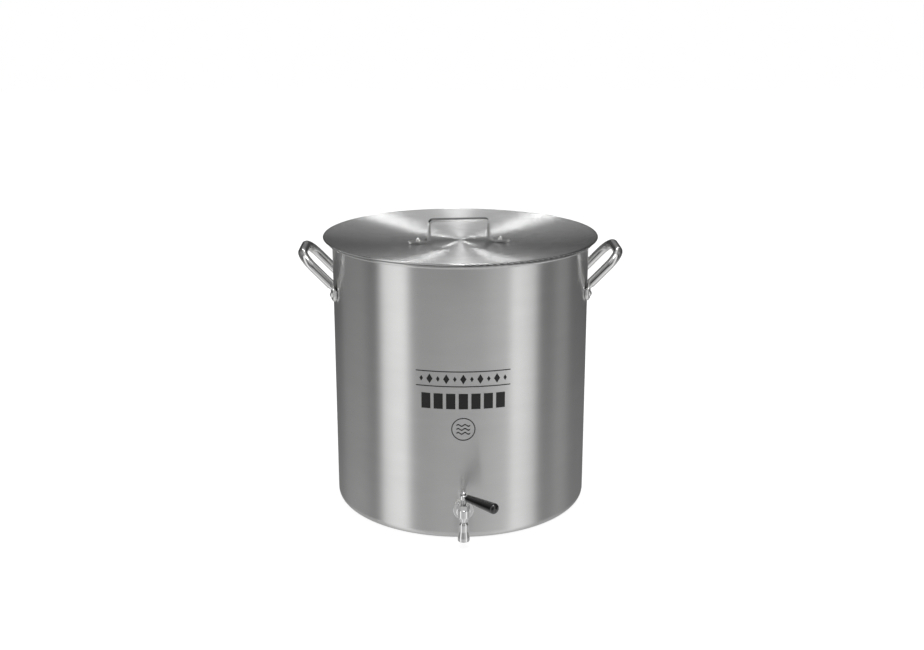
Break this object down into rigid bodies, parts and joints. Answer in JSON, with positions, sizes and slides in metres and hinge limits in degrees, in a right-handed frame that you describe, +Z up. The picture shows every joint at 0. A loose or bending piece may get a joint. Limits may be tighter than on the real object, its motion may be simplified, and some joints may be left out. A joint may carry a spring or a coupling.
{
  "type": "brew kettle",
  "caption": "Tall aluminium brew kettle with a dished lid, sloping loop handles and a small quarter-turn tap at the foot of the wall.",
  "frame": {"origin": "on the pot's axis at the underside of its base", "axes": "+Z up; the tap points along -Y; the side handles stand out along +X and -X"},
  "size_m": [0.425, 0.4133, 0.3814],
  "materials": {
    "pot_aluminium": "spun, fine marks round the wall, satin",
    "lid_aluminium": "spun, fine concentric marks, bright satin",
    "handle_aluminium": "polished bar",
    "strap_aluminium": "polished strap",
    "rivet_aluminium": "bright, round headed",
    "tap_chrome": "chromed brass, mirror bright",
    "washer_steel": "plain stainless steel",
    "nut_brass": "plain turned brass",
    "gasket_silicone": "milky silicone rubber",
    "seal_rubber": "black rubber",
    "seat_plastic": "white low-friction plastic",
    "grip_plastic": "black, glossy"
  },
  "bodies": {
    "pot": {"pot_body": "pot_aluminium", "handle_left": "handle_aluminium", "handle_right": "handle_aluminium", "handle_left_rivets": "rivet_aluminium", "handle_right_rivets": "rivet_aluminium", "valve_body": "tap_chrome", "inlet_shank": "tap_chrome", "outer_washer": "tap_chrome", "outer_gasket": "gasket_silicone", "inner_gasket": "gasket_silicone", "inner_washer": "washer_steel", "lock_nut": "nut_brass", "inlet_seat": "seat_plastic", "outlet_seat": "seat_plastic", "bonnet_nut": "tap_chrome", "thrust_washer": "seat_plastic", "spout_nozzle": "tap_chrome", "spout_seal": "seal_rubber"},
    "lid": {"lid": "lid_aluminium", "lid_handle": "strap_aluminium", "lid_handle_rivets": "rivet_aluminium"},
    "tap_lever": {"valve_ball": "tap_chrome", "valve_stem": "washer_steel", "stem_o_rings": "seal_rubber", "lever_arm": "tap_chrome", "lever_grip": "grip_plastic", "lever_cap_nut": "tap_chrome"}
  },
  "joints": [
    {"name": "lid_lift", "type": "slide", "parent": "pot", "child": "lid", "axis": [0, 0, 1], "range_m": [0, 0.13]},
    {"name": "tap_turn", "type": "hinge", "parent": "pot", "child": "tap_lever", "pos_m": [0, -0.1905, 0.0435], "axis": [0, 0, 1], "range_deg": [-45, 45]}
  ]
}
